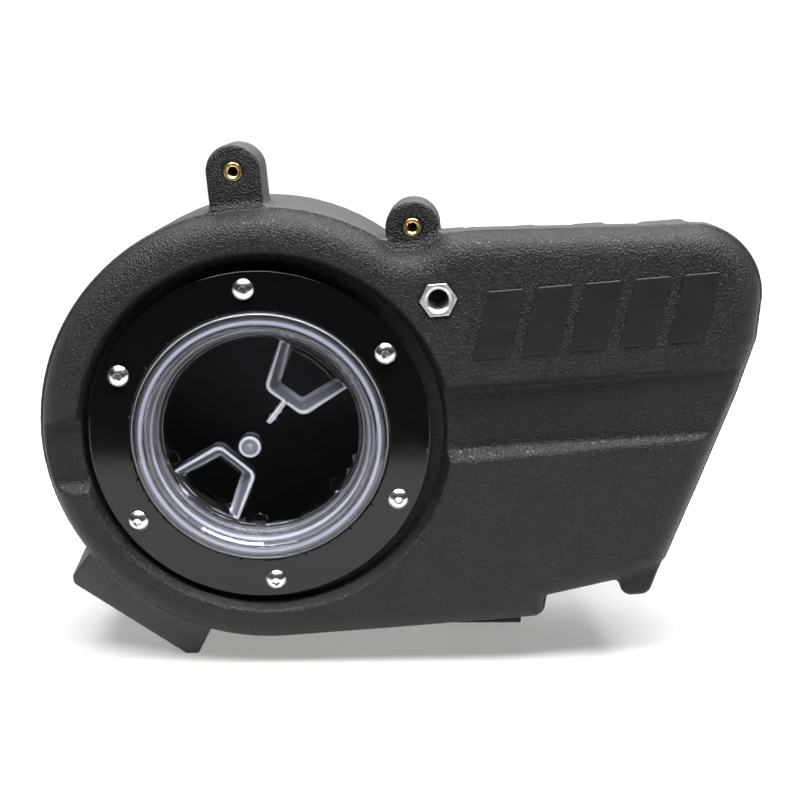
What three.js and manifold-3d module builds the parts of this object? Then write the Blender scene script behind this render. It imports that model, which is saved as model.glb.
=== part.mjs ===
// Intercooler coolant reservoir: a moulded plastic tank with a bolted access ring and a clear
// screw-out lid.
// Millimetres, +Z up, the front faces -Y. The tank is drawn level around the centre of its bolt circle,
// then tipped to the pose in which it stands on a table.
import * as THREE from "three";
import { mergeVertices } from "three/addons/utils/BufferGeometryUtils.js";
import Module from "manifold-3d";

const wasm = await Module();
wasm.setup();

// ---------- driving dimensions ----------
const BOLT_CIRCLE = 85; // radius on which the six ring screws sit
const STANDING_TILT = THREE.MathUtils.degToRad(-4.87); // roll of the tank on its pad and foot
const GAP = 0.3; // clearance between pieces that touch
const WALL = 5; // moulded wall

const BODY = { x: 3, z: 1.7, radius: 124.3 }; // round part of the tank
const DEPTH = 115; // front face to back face
const EDGE_RADIUS = 14; // big soft front edge
const FLARE = { y: 18, out: 2 }; // the rear half stands a little proud of the front half
const BACK_EDGE = { y: 107, inset: 7.3 }; // side walls draw in towards the back
const BACK_INSET = 14.8; // at the back face

const RECESS = { rim: 104, floor: 99.5, y: 11.8 }; // seat of the ring: radius at the face and at the floor
const MOUTH_RADIUS = 73.5; // hole through the seat
const SEAT_WALL_BACK = 18; // inner face of the wall behind the seat

const RING = { front: 5, thickness: 5.2, outer: 95, chamfer: 1.2 };
const GASKET = { thickness: 1, inner: 76, outer: 93.5 };
const COLLAR = { outer: 72.6, inner: 67.6, back: 24 }; // threaded collar behind the ring
const LID_SEAT = { radius: 71.9, y: 8.6 }; // counterbore that takes the lid's flange

const THREAD = { lead: 12, starts: 3, height: 2.2, root: 2.2, crest: 1, front: 12.8, back: 20 };
const LID = {
  front: 3.2, flange: 71.4, flangeInner: 63.4, skirt: 64.9, wall: 2.6,
  floor: 17.4, floorRadius: 55.6, skirtBack: 21.5,
};
const WELL = {
  inner: 23.5, outer: 54, halfIn: 11.5, halfOut: 21, corner: 3, depth: 8, wall: 2.2, rimShare: 0.35,
};
const WELL_ANGLES = [42, 225]; // clockwise from the top, seen from the front
const LID_BOSS = { x: -7.5, z: -8.5, radius: 6.3, length: 8 };
const LID_RIB = { half: 1.4, from: 8, height: 2.5 }; // on the floor, from near the middle to the first well
const O_RING = { section: 0.8, inset: 3, proud: 0.95 }; // section radius; its middle from flange and seat

const SCREW = { head: 6.3, headHeight: 3.4, shank: 3, length: 16, socket: 2, socketDepth: 2 };
const INSERT = { radius: 4.6, length: 12, bore: 3.1 };
const EAR_INSERT = { radius: 5, length: 14, bore: 2.6 };
const EARS = [
  { x: 0.5, z: 147, half: 14.9 },
  { x: 94, z: 108.5, half: 14.8 },
];
const EAR = { front: 16, back: 48, reach: 38 }; // reach: how far the ear runs down into the tank
const EAR_LEAN = { x: 0.0375, z: -0.094 }; // how far an ear moves sideways and down per mm of depth

const HEX_PORT = { x: 104.7, z: 71, flats: 17.8, bore: 5.6, barrel: 7.6, proud: 0.8, head: 6, length: 20 };
const HOSE_PORT = { flats: 32, bore: 11, barrel: 14, head: 8, length: 22, spacing: 40, y: 59 };
const SEAT_BOSS_RADIUS = 9; // plastic round each ring insert
const HEX_BOSS_RADIUS = 17; // plastic round the hexagonal insert
const PORT_BLOCK = { width: 38, height: 50, depth: 28 }; // plastic round each hose port
const PAD = { front: 18, back: 100 };
const PAD_CORNER = new THREE.Vector2(-51.5, -133); // lowest edge of the pad, which stands on the table
const FOOT = { left: 96, right: 140, top: -108, front: 60, back: 102 };

const ROUND_STEPS = 48;
const LARGE_ROUND_STEPS = 64;
const PORT_STEPS = 24;
const SMALL_ROUND_STEPS = 14;

// ---------- solids ----------
function solidFrom(geometry) {
  const bare = geometry.clone();
  bare.deleteAttribute("normal");
  bare.deleteAttribute("uv");
  const merged = mergeVertices(bare, 1e-4);
  return new wasm.Manifold(
    new wasm.Mesh({
      numProp: 3,
      vertProperties: new Float32Array(merged.attributes.position.array),
      triVerts: new Uint32Array(merged.index.array),
    }),
  );
}

// Closed solid from corner coordinates and triangles, turned the right way out.
function solidFromFaces(position, index) {
  const geometry = new THREE.BufferGeometry();
  geometry.setAttribute("position", new THREE.Float32BufferAttribute(position, 3));
  geometry.setIndex(index);
  const solid = solidFrom(geometry);
  if (solid.volume() > 0) return solid;
  geometry.setIndex(index.toReversed());
  return solidFrom(geometry);
}

function geometryFrom(solid) {
  const mesh = solid.getMesh();
  const geometry = new THREE.BufferGeometry();
  geometry.setAttribute("position", new THREE.BufferAttribute(mesh.vertProperties, 3));
  geometry.setIndex(new THREE.BufferAttribute(mesh.triVerts, 1));
  const flat = geometry.toNonIndexed();
  flat.computeVertexNormals();
  return flat;
}

const joined = (solids) => solids.reduce((sum, next) => sum.add(next));

// Turned shape about the depth axis through (x, z); the profile lists [radius, depth] pairs.
function turned(profile, x = 0, z = 0, steps = ROUND_STEPS) {
  const points = profile.map(([r, y]) => new THREE.Vector2(r, y));
  return solidFrom(new THREE.LatheGeometry(points, steps).translate(x, 0, z));
}

function cylinder(radius, front, back, x = 0, z = 0, steps = ROUND_STEPS) {
  return turned([[0, front], [radius, front], [radius, back], [0, back]], x, z, steps);
}

// Prism of a shape drawn in X and Z, between two depths. With a lean it moves aside as it gets deeper.
function prism(shape, front, back, curveSegments = 12, lean = { x: 0, z: 0 }) {
  const options = { depth: back - front, bevelEnabled: false, curveSegments };
  const drawn = new THREE.ExtrudeGeometry(shape, options);
  const slant = new THREE.Matrix4().makeShear(0, 0, lean.x, lean.z, 0, 0);
  drawn.rotateX(Math.PI / 2).translate(0, back - front, 0).applyMatrix4(slant);
  return solidFrom(drawn.translate(0, front, 0));
}

const polygon = (corners) => new THREE.Shape(corners.map(([x, z]) => new THREE.Vector2(x, z)));

function hexagon(flats, x, z) {
  const corner = flats / Math.sqrt(3);
  return polygon(
    Array.from({ length: 6 }, (_, i) => {
      const angle = (i * Math.PI) / 3;
      return [x + corner * Math.cos(angle), z + corner * Math.sin(angle)];
    }),
  );
}

// Outline moved inwards by a distance, corner by corner.
function inset(points, distance) {
  return points.map((p, i) => {
    const before = points[(i + points.length - 1) % points.length];
    const after = points[(i + 1) % points.length];
    const a = p.clone().sub(before).normalize();
    const b = after.clone().sub(p).normalize();
    const normals = new THREE.Vector2(-a.y - b.y, a.x + b.x);
    return p.clone().addScaledVector(normals, distance / (1 + a.dot(b)));
  });
}

// Solid through copies of one counter-clockwise outline, each at its own depth and inset.
function loft(points, levels) {
  const count = points.length;
  const position = [];
  const index = [];
  const rings = levels.map((level) => inset(points, level.inset));
  rings.forEach((ring, k) => ring.forEach((p) => position.push(p.x, levels[k].y, p.y)));
  for (let k = 0; k + 1 < rings.length; k++) {
    for (let i = 0; i < count; i++) {
      const a = k * count + i;
      const b = k * count + ((i + 1) % count);
      index.push(a, b, a + count, b, b + count, a + count);
    }
  }
  const last = (rings.length - 1) * count;
  for (const [a, b, c] of THREE.ShapeUtils.triangulateShape(rings[0], [])) index.push(a, c, b);
  for (const [a, b, c] of THREE.ShapeUtils.triangulateShape(rings.at(-1), [])) {
    index.push(last + a, last + b, last + c);
  }
  return solidFromFaces(position, index);
}

function arcPoints(cx, cz, radius, fromDegrees, toDegrees, step) {
  const count = Math.max(1, Math.round(Math.abs(toDegrees - fromDegrees) / step));
  return Array.from({ length: count + 1 }, (_, i) => {
    const angle = THREE.MathUtils.degToRad(fromDegrees + ((toDegrees - fromDegrees) * i) / count);
    return new THREE.Vector2(cx + radius * Math.cos(angle), cz + radius * Math.sin(angle));
  });
}

// ---------- tank ----------
// Widest outline of the tank, counter-clockwise from the bottom of the round part: the bottom edge,
// the step, the slanted right side, the top right corner, the top edge, and round the left.
function tankOutline() {
  const corner = { x: 240.36, z: 57, radius: 40 };
  const lines = (pairs) => pairs.map(([x, z]) => new THREE.Vector2(x, z));
  return [
    ...lines([[148.5, -123], [152, -110.8], [206, -102.5], [220.6, -96]]),
    ...lines([[241.6, -51], [264.6, 0], [277.4, 33]]),
    ...arcPoints(corner.x, corner.z, corner.radius, -5, 86, 13),
    ...lines([[127.5, 104.4], [112, 104], [96, 95.4]]),
    ...arcPoints(BODY.x, BODY.z, BODY.radius, 48, 270, 6),
  ];
}

function roundFront(radius, steps) {
  return Array.from({ length: steps + 1 }, (_, i) => {
    const t = (i / steps) * (Math.PI / 2);
    return { y: radius * (1 - Math.cos(t)), inset: radius * (1 - Math.sin(t)) };
  });
}

function tankOutside() {
  const outside = loft(tankOutline(), [
    ...roundFront(EDGE_RADIUS, 4),
    { y: FLARE.y, inset: -FLARE.out },
    { y: BACK_EDGE.y, inset: BACK_EDGE.inset },
    { y: DEPTH, inset: BACK_INSET },
  ]);
  return outside.subtract(aboveArmTop(0));
}

// The arm's top falls to the right, and falls off more steeply towards the back than the other sides.
const ARM_TOP = { x: 127.5, z: 104.4, fall: 0.0489, backFall: 0.2 };

function armTop(x, y) {
  return ARM_TOP.z - (x - ARM_TOP.x) * ARM_TOP.fall + FLARE.out - (y - FLARE.y) * ARM_TOP.backFall;
}

// Everything above the back half of the arm, or a given distance below its top.
function aboveArmTop(drop) {
  const corners = [[90, FLARE.y], [300, FLARE.y], [300, DEPTH + 5], [90, DEPTH + 5]];
  const below = corners.flatMap(([x, y]) => [x, y, armTop(x, y) - drop]);
  const above = corners.flatMap(([x, y]) => [x, y, 150]);
  const sides = [0, 1, 2, 3].flatMap((i) => {
    const j = (i + 1) % 4;
    return [i, j, i + 4, j, j + 4, i + 4];
  });
  return solidFromFaces([...below, ...above], [...sides, 0, 2, 1, 0, 3, 2, 4, 5, 6, 4, 6, 7]);
}

// Toe that hangs below the lower right corner.
function toe() {
  const shape = new THREE.Shape();
  shape.moveTo(193, -92);
  shape.lineTo(196.5, -106);
  shape.absarc(204, -106.5, 7, Math.PI, 1.75 * Math.PI, false);
  shape.lineTo(218, -97);
  shape.lineTo(214, -88);
  return prism(shape, 6, 40, 8);
}

// Angled pad at the lower left, whose slanted face carries the two hose ports.
const PAD_FACE = { from: new THREE.Vector2(-115.8, -80.3), to: new THREE.Vector2(-56, -132.5) };

function pad() {
  const shape = new THREE.Shape();
  shape.moveTo(-95, -50);
  shape.lineTo(-106, -64.4);
  shape.lineTo(-116.6, -76);
  shape.lineTo(PAD_FACE.from.x, PAD_FACE.from.y);
  shape.lineTo(PAD_FACE.to.x, PAD_FACE.to.y);
  shape.lineTo(PAD_CORNER.x, PAD_CORNER.y);
  shape.lineTo(-43, -119);
  shape.lineTo(-36, -104);
  return prism(shape, PAD.front, PAD.back);
}

// Height of the table line under the level drawing, at a distance x from the bolt circle's centre.
const tableLine = (x) => PAD_CORNER.y + (x - PAD_CORNER.x) * Math.tan(STANDING_TILT);

// Hidden foot under the back half, which the tank stands on together with its pad.
function foot() {
  const { left, right, top, front, back } = FOOT;
  const corners = [[left, tableLine(left)], [right, tableLine(right)], [right, top], [left, top]];
  return prism(polygon(corners), front, back);
}

function ear({ x, z, half }) {
  const shape = new THREE.Shape();
  shape.moveTo(x - half, z - EAR.reach);
  shape.lineTo(x + half, z - EAR.reach);
  shape.lineTo(x + half, z);
  shape.absarc(x, z, half, 0, Math.PI, false);
  return prism(shape, EAR.front, EAR.back, 10, EAR_LEAN);
}

// Low ribs across the arm's top in the back half, steeper on the left.
const TOP_RIBS = { first: 102.3, pitch: 38.9, count: 4, width: 27, lastWidth: 33, left: 3, right: 5 };
const TOP_RIB = { front: 26, back: 60, proud: 2 };

function topRibs() {
  const { first, pitch, count, width, lastWidth, left, right } = TOP_RIBS;
  return Array.from({ length: count }, (_, i) => {
    const start = first + pitch * i;
    const end = start + (i === count - 1 ? lastWidth : width);
    const high = armTop((start + end) / 2, TOP_RIB.back) + TOP_RIB.proud;
    const corners = [[start, high - 14], [end, high - 14], [end - right, high], [start + left, high]];
    return prism(polygon(corners), TOP_RIB.front, TOP_RIB.back);
  });
}

// Channel pressed across the front, with sloping walls. It may get shallower from one end to the other:
// the floor then widens a little as it comes up.
const CHANNEL = { halfOpen: 22.5, halfFloor: 16, fullDepth: 7.65, widening: 0.4, above: 12 };

function channel(fromX, toX, fromDepth, toDepth, grow = 0) {
  const { fullDepth, widening, above } = CHANNEL;
  const halfFloor = CHANNEL.halfFloor + grow;
  const halfOpen = CHANNEL.halfOpen + grow;
  const slope = (halfOpen - halfFloor) / fullDepth;
  const section = (depth) => [
    [-halfOpen - above * slope, -above],
    [halfOpen + above * slope, -above],
    [halfFloor + (fullDepth - depth) * widening, depth + grow],
    [-halfFloor - (fullDepth - depth) * widening, depth + grow],
  ];
  const position = [[fromX, fromDepth], [toX, toDepth]].flatMap(([x, depth]) =>
    section(depth).flatMap(([z, y]) => [x, y, z]),
  );
  const sides = [0, 1, 2, 3].flatMap((i) => {
    const j = (i + 1) % 4;
    return [i, j, i + 4, j, j + 4, i + 4];
  });
  return solidFromFaces(position, [...sides, 0, 2, 1, 0, 3, 2, 4, 5, 6, 4, 6, 7]);
}

const CHANNELS = [
  [-135, -60, 6, 6],
  [60, 275, 8.3, 2.2],
];

function tankCavity() {
  const hollow = loft(tankOutline(), [
    { y: WALL + 0.5, inset: EDGE_RADIUS + 2 },
    { y: EDGE_RADIUS, inset: WALL + 1 },
    { y: FLARE.y + 3, inset: WALL - 1 },
    { y: BACK_EDGE.y - 3, inset: BACK_EDGE.inset + WALL },
    { y: DEPTH - WALL, inset: BACK_INSET + WALL },
  ]);
  const behindSeat = cylinder(BODY.radius + 4, -1, SEAT_WALL_BACK, BODY.x, BODY.z);
  const channels = CHANNELS.map((ends) => channel(...ends, WALL));
  return hollow.subtract(behindSeat).subtract(joined(channels)).subtract(aboveArmTop(WALL));
}

// Frame of the slanted pad face: x along the face, z out of it, at the middle of the face.
function padFaceFrame() {
  const along = PAD_FACE.to.clone().sub(PAD_FACE.from);
  const middle = PAD_FACE.from.clone().add(PAD_FACE.to).multiplyScalar(0.5);
  const angle = Math.atan2(along.y, along.x);
  return new THREE.Matrix4()
    .makeTranslation(middle.x, HOSE_PORT.y, middle.y)
    .multiply(new THREE.Matrix4().makeRotationY(-angle));
}

// A shape that points into the pad from its slanted face, for each of the two hose ports.
function hosePortSolids(make) {
  return [-1, 1].map((side) => {
    const geometry = make().translate((side * HOSE_PORT.spacing) / 2, 0, 0);
    return solidFrom(geometry.applyMatrix4(padFaceFrame()));
  });
}

const upright = (radius, top, bottom, steps = 32) =>
  new THREE.CylinderGeometry(radius, radius, top - bottom, steps)
    .rotateX(Math.PI / 2)
    .translate(0, 0, (top + bottom) / 2);

function screwPlaces() {
  return Array.from({ length: 6 }, (_, i) => {
    const angle = (i * Math.PI) / 3;
    return { x: BOLT_CIRCLE * Math.sin(angle), z: BOLT_CIRCLE * Math.cos(angle) };
  });
}

const SEAT_INSERT_FRONT = RECESS.y + GAP;
const SEAT_BOSS_BACK = SEAT_INSERT_FRONT + INSERT.length + 4;

function tankShell() {
  const outside = joined([tankOutside(), toe(), pad(), foot(), ...EARS.map(ear), ...topRibs()]);
  const seat = turned(
    [[0, -1], [RECESS.rim + 0.4, -1], [RECESS.floor, RECESS.y], [0, RECESS.y]], BODY.x, BODY.z, 96,
  );
  const bosses = screwPlaces().map(({ x, z }) =>
    cylinder(SEAT_BOSS_RADIUS, RECESS.y + 1, SEAT_BOSS_BACK, x, z, SMALL_ROUND_STEPS),
  );
  const hexBoss = cylinder(HEX_BOSS_RADIUS, 2, HEX_PORT.length + 3, HEX_PORT.x, HEX_PORT.z, PORT_STEPS);
  const { width, height, depth } = PORT_BLOCK;
  const blocks = hosePortSolids(() => new THREE.BoxGeometry(width, height, depth).translate(0, 0, depth / 2));
  const padSolid = pad().add(joined(blocks).intersect(outside));
  const hollow = tankCavity().subtract(joined([...bosses, hexBoss])).subtract(padSolid);
  const cuts = [
    seat,
    ...CHANNELS.map((ends) => channel(...ends)),
    cylinder(MOUTH_RADIUS, 0, SEAT_WALL_BACK + 2, 0, 0),
    ...screwPlaces().map(({ x, z }) =>
      cylinder(INSERT.radius + GAP, 5, SEAT_INSERT_FRONT + INSERT.length + GAP, x, z, SMALL_ROUND_STEPS),
    ),
    ...EARS.map(({ x, z }) =>
      cylinder(EAR_INSERT.radius + GAP, EAR.front - 1, EAR.front + EAR_INSERT.length + GAP, x, z, 20),
    ),
    cylinder(HEX_PORT.barrel + GAP, -1, HEX_PORT.length + 6, HEX_PORT.x, HEX_PORT.z, PORT_STEPS),
    prism(hexagon(HEX_PORT.flats + 2 * GAP, HEX_PORT.x, HEX_PORT.z), -1, HEX_PORT.head + GAP),
    ...hosePortSolids(() => upright(HOSE_PORT.barrel + GAP, 60, -1)),
    ...hosePortSolids(() => hexPrism(HOSE_PORT.flats + 2 * GAP, HOSE_PORT.head + GAP, -1)),
  ];
  return outside.subtract(hollow).subtract(joined(cuts));
}

// Hexagonal prism along Z between two heights.
function hexPrism(flats, top, bottom) {
  return new THREE.CylinderGeometry(flats / Math.sqrt(3), flats / Math.sqrt(3), top - bottom, 6)
    .rotateX(Math.PI / 2)
    .translate(0, 0, (top + bottom) / 2);
}

// ---------- access ring, gasket, screws, inserts ----------
// One start of a thread: a trapezoid ridge swept along a helix on a cylinder, about the depth axis.
function threadRidge(base, height, turnsFrom) {
  const { lead, front, back, root, crest } = THREAD;
  const steps = Math.ceil(((back - front) / lead) * ROUND_STEPS);
  const embed = 0.8 * Math.sign(height);
  const position = [];
  const index = [];
  for (let i = 0; i <= steps; i++) {
    const y = front + ((back - front) * i) / steps;
    const angle = 2 * Math.PI * (turnsFrom + (y - front) / lead);
    const section = [
      [base - embed, -root / 2], [base + height, -crest / 2],
      [base + height, crest / 2], [base - embed, root / 2],
    ];
    for (const [r, dy] of section) position.push(r * Math.sin(angle), y + dy, r * Math.cos(angle));
  }
  for (let i = 0; i < steps; i++) {
    for (let j = 0; j < 4; j++) {
      const a = i * 4 + j;
      const b = i * 4 + ((j + 1) % 4);
      index.push(a, b, a + 4, b, b + 4, a + 4);
    }
  }
  const end = steps * 4;
  index.push(0, 2, 1, 0, 3, 2, end, end + 1, end + 2, end, end + 2, end + 3);
  return solidFromFaces(position, index);
}

// Every start of a thread. The phase is in pitches: 0.5 puts a thread midway between the ridges of a
// thread with phase 0.
function threadStarts(base, height, phase) {
  return Array.from({ length: THREAD.starts }, (_, i) =>
    threadRidge(base, height, (i + phase) / THREAD.starts),
  );
}

// Clearance holes for the six ring screws, right through whatever they are cut from.
function screwHoles() {
  return screwPlaces().map(({ x, z }) =>
    cylinder(SCREW.shank + GAP, 0, DEPTH / 2, x, z, SMALL_ROUND_STEPS),
  );
}

function accessRing() {
  const back = RING.front + RING.thickness;
  const plate = turned([
    [COLLAR.inner, LID_SEAT.y], [LID_SEAT.radius, LID_SEAT.y], [LID_SEAT.radius, RING.front],
    [RING.outer - RING.chamfer, RING.front], [RING.outer, RING.front + RING.chamfer], [RING.outer, back],
    [COLLAR.outer, back], [COLLAR.outer, COLLAR.back], [COLLAR.inner, COLLAR.back],
    [COLLAR.inner, LID_SEAT.y],
  ], 0, 0, LARGE_ROUND_STEPS);
  const ridges = threadStarts(COLLAR.inner, -THREAD.height, 0);
  return joined([plate, ...ridges]).subtract(joined(screwHoles()));
}

function ringGasket() {
  const front = RING.front + RING.thickness + GAP;
  const band = turned([
    [GASKET.inner, front], [GASKET.outer, front], [GASKET.outer, front + GASKET.thickness],
    [GASKET.inner, front + GASKET.thickness], [GASKET.inner, front],
  ]);
  return band.subtract(joined(screwHoles()));
}

function ringScrew({ x, z }) {
  const under = RING.front - GAP;
  const top = under - SCREW.headHeight;
  const dome = turned([
    [0, top], [SCREW.head * 0.55, top], [SCREW.head * 0.86, top + 1.1], [SCREW.head, under - 0.7],
    [SCREW.head, under], [SCREW.shank, under], [SCREW.shank, under + SCREW.length],
    [0, under + SCREW.length],
  ], x, z, SMALL_ROUND_STEPS);
  return dome.subtract(prism(hexagon(2 * SCREW.socket, x, z), top - 1, top + SCREW.socketDepth));
}

function seatInsert({ x, z }) {
  const front = SEAT_INSERT_FRONT;
  return turned([
    [INSERT.bore + GAP, front], [INSERT.radius, front], [INSERT.radius, front + INSERT.length],
    [INSERT.bore + GAP, front + INSERT.length], [INSERT.bore + GAP, front],
  ], x, z, SMALL_ROUND_STEPS);
}

// ---------- lid ----------
// One finger well: a wedge-shaped outline that widens towards the rim, with cut inner corners. The
// wall round it is thinner towards the rim, where it meets the skirt.
function wellShape(grow) {
  const inner = WELL.inner - grow;
  const outer = WELL.outer + WELL.rimShare * grow;
  const halfIn = WELL.halfIn + grow;
  const halfOut = WELL.halfOut + grow;
  const rim = Math.sqrt(outer * outer - halfOut * halfOut);
  const shape = new THREE.Shape();
  shape.moveTo(-halfIn + WELL.corner, inner);
  shape.lineTo(halfIn - WELL.corner, inner);
  shape.lineTo(halfIn, inner + WELL.corner);
  shape.lineTo(halfOut, rim);
  shape.absarc(0, 0, outer, Math.atan2(rim, halfOut), Math.atan2(rim, -halfOut), false);
  shape.lineTo(-halfIn, inner + WELL.corner);
  return shape;
}

function wells(grow, front, back) {
  const well = prism(wellShape(grow), front, back, 5);
  return WELL_ANGLES.map((degrees) => well.rotate([0, degrees, 0]));
}

function lid() {
  const seatClearance = 1.9; // room for the O-ring under the flange
  const flangeBack = LID_SEAT.y - seatClearance;
  const dish = turned([
    [0, LID.floor], [LID.floorRadius, LID.floor], [LID.flangeInner - 1.6, LID.front + 2.2],
    [LID.flangeInner, LID.front], [LID.flange - 1.2, LID.front], [LID.flange, LID.front + 1.2],
    [LID.flange, flangeBack], [LID.skirt, flangeBack], [LID.skirt, LID.skirtBack],
    [LID.skirt - LID.wall, LID.skirtBack], [LID.skirt - LID.wall, LID.floor + LID.wall],
    [0, LID.floor + LID.wall],
  ], 0, 0, LARGE_ROUND_STEPS);
  const floorBack = LID.floor + WELL.depth;
  const cups = wells(WELL.wall, LID.floor + 0.4, floorBack + WELL.wall);
  const bossFront = LID.floor + 1;
  const boss = cylinder(LID_BOSS.radius, bossFront, bossFront + LID_BOSS.length, LID_BOSS.x, LID_BOSS.z, 20);
  const { half, from, height } = LID_RIB;
  const ribShape = polygon([[-half, from], [half, from], [half, WELL.inner], [-half, WELL.inner]]);
  const rib = prism(ribShape, LID.floor - height, bossFront).rotate([0, WELL_ANGLES[0], 0]);
  const ridges = threadStarts(LID.skirt, THREAD.height, 0.5);
  const body = joined([dish, ...ridges, ...cups, boss, rib]);
  return body.subtract(joined(wells(0, LID.floor - 3, floorBack)).subtract(rib));
}

function lidORing() {
  const radius = O_RING.section;
  const middle = { r: LID.flange - O_RING.inset, y: LID_SEAT.y - O_RING.proud };
  const profile = Array.from({ length: 6 }, (_, i) => {
    const angle = (i / 6) * 2 * Math.PI;
    return [middle.r + radius * Math.cos(angle), middle.y + radius * Math.sin(angle)];
  });
  return turned([...profile, profile[0]]);
}

// ---------- ports ----------
function hexPortInsert() {
  const { x, z, bore, barrel, flats, proud, length } = HEX_PORT;
  const head = prism(hexagon(flats, x, z), -proud, HEX_PORT.head);
  const neck = cylinder(barrel, HEX_PORT.head - 1, length, x, z, PORT_STEPS);
  const mouth = { radius: bore + 2.2, back: 1.2 }; // cone that leads into the bore
  const through = turned([
    [0, -proud - 1], [mouth.radius, -proud - 1], [bore, mouth.back], [bore, length + 1], [0, length + 1],
  ], x, z, PORT_STEPS);
  return head.add(neck).subtract(through);
}

function hosePortInsert() {
  const { bore, barrel, flats, length } = HOSE_PORT;
  const head = solidFrom(hexPrism(flats, HOSE_PORT.head, 0.2));
  const neck = solidFrom(upright(barrel, length, HOSE_PORT.head - 1));
  return head.add(neck).subtract(solidFrom(upright(bore, length + 1, -1)));
}

// ---------- assembly ----------
const FINISHES = {
  tankPlastic: { color: 0x1b1b1c, roughness: 0.62, metalness: 0 },
  ringPlastic: { color: 0x0a0a0b, roughness: 0.12, metalness: 0 },
  rubber: { color: 0x141414, roughness: 0.8, metalness: 0 },
  stainless: { color: 0xc9c8c4, roughness: 0.25, metalness: 1 },
  brass: { color: 0xc99a45, roughness: 0.3, metalness: 1 },
  aluminium: { color: 0xb9bbbd, roughness: 0.45, metalness: 1 },
  clearPlastic: { color: 0xcfd6ea, roughness: 0.05, metalness: 0, transparent: true, opacity: 0.45 },
};

function part(name, solid, finish) {
  const mesh = new THREE.Mesh(geometryFrom(solid), new THREE.MeshStandardMaterial(FINISHES[finish]));
  mesh.name = name;
  return mesh;
}

const tank = new THREE.Group();
tank.add(part("tank_shell", tankShell(), "tankPlastic"));
tank.add(part("access_ring", accessRing(), "ringPlastic"));
tank.add(part("ring_gasket", ringGasket(), "rubber"));
screwPlaces().forEach((place, i) => {
  tank.add(part(`ring_screw_${i + 1}`, ringScrew(place), "stainless"));
  tank.add(part(`ring_insert_${i + 1}`, seatInsert(place), "brass"));
});
tank.add(part("lid", lid(), "clearPlastic"));
tank.add(part("lid_o_ring", lidORing(), "rubber"));
EARS.forEach(({ x, z }, i) => {
  const { radius, bore, length } = EAR_INSERT;
  const sleeve = turned([
    [bore, EAR.front], [radius, EAR.front], [radius, EAR.front + length], [bore, EAR.front + length],
    [bore, EAR.front],
  ], x, z, 20);
  tank.add(part(`ear_insert_${i + 1}`, sleeve, "brass"));
});
tank.add(part("hex_port_insert", hexPortInsert(), "aluminium"));
[-1, 1].forEach((side, i) => {
  const insert = part(`hose_port_insert_${i + 1}`, hosePortInsert(), "aluminium");
  const alongFace = new THREE.Matrix4().makeTranslation((side * HOSE_PORT.spacing) / 2, 0, 0);
  insert.applyMatrix4(padFaceFrame().multiply(alongFace));
  tank.add(insert);
});
tank.rotation.y = STANDING_TILT;

// The origin is under the middle of the object's box, on the table.
const object = new THREE.Group();
object.add(tank);
object.updateMatrixWorld(true);
const box = new THREE.Box3().setFromObject(object, true);
tank.position.set(-(box.min.x + box.max.x) / 2, -(box.min.y + box.max.y) / 2, -box.min.z);

export default object;
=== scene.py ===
"""Looks of the intercooler coolant reservoir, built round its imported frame.

Shapes are drawn in millimetres in the tank's own level drawing: x to the right, y into the tank from
its front face, z up, from the middle of the bolt circle. drawing_to_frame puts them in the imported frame.
"""

import math

import bpy
import numpy as np
import openvdb
from mathutils import Matrix, Vector


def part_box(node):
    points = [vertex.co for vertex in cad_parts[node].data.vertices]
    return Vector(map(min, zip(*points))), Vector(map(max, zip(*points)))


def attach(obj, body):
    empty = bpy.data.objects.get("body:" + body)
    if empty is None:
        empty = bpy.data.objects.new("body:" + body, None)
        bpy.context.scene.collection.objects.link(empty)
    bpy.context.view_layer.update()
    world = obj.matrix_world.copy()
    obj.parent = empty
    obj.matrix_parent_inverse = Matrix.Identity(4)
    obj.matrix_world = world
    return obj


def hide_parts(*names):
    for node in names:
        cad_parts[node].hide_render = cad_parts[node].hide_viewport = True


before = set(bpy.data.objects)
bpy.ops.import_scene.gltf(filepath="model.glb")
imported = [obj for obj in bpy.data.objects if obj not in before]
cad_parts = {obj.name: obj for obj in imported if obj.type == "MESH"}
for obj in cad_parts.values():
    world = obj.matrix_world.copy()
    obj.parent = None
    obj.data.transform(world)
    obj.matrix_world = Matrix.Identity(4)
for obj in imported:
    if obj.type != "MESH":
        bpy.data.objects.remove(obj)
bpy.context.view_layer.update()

# ---------- driving dimensions, in millimetres ----------
TILT = math.radians(-4.87)  # roll of the tank as it stands
BOLT_CIRCLE = 85
DEPTH = 115
EDGE_RADIUS = 14  # big soft front edge
WALL = 5
BODY = {"x": 3, "z": 1.7, "radius": 124.3}
FLARE = {"y": 17, "out": 2}  # the rear half stands a little proud of the front half
BACK_EDGE = {"y": 107, "inset": 7.3}
RECESS = {"rim": 104, "floor": 99.5, "y": 11.8}
MOUTH_RADIUS = 73.5
SEAT_WALL_BACK = 18
RING = {"front": 5, "back": 10.2, "outer": 95, "bevel": 1.2, "seat": 71.9, "seat_y": 8.6, "collar": 72.6,
        "bore": 67.6, "collar_back": 24}
SCREW = {"head": 6.3, "height": 3.4, "shank": 3, "length": 16, "socket": 2, "socket_depth": 2}
INSERT = {"radius": 4.9, "front": 11, "back": 24.4}
EARS = [{"x": 0.5, "z": 147, "half": 14.9}, {"x": 94, "z": 108.5, "half": 14.8}]
EAR = {"front": 16, "back": 48, "reach": 38, "insert": 5, "bore": 2.6, "insert_back": 30}
EAR_LEAN = {"x": 0.0375, "z": -0.094}  # how far an ear moves sideways and down per mm of depth
ARM_TOP = {"x": 127.5, "z": 102.3, "fall": 0.0489, "back_fall": 0.2}
TOP_RIBS = {"first": 102.3, "pitch": 38.9, "count": 4, "width": 27, "last_width": 33, "left": 3, "right": 5,
            "front": 22, "back": 60, "proud": 2, "root": 14}
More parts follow.
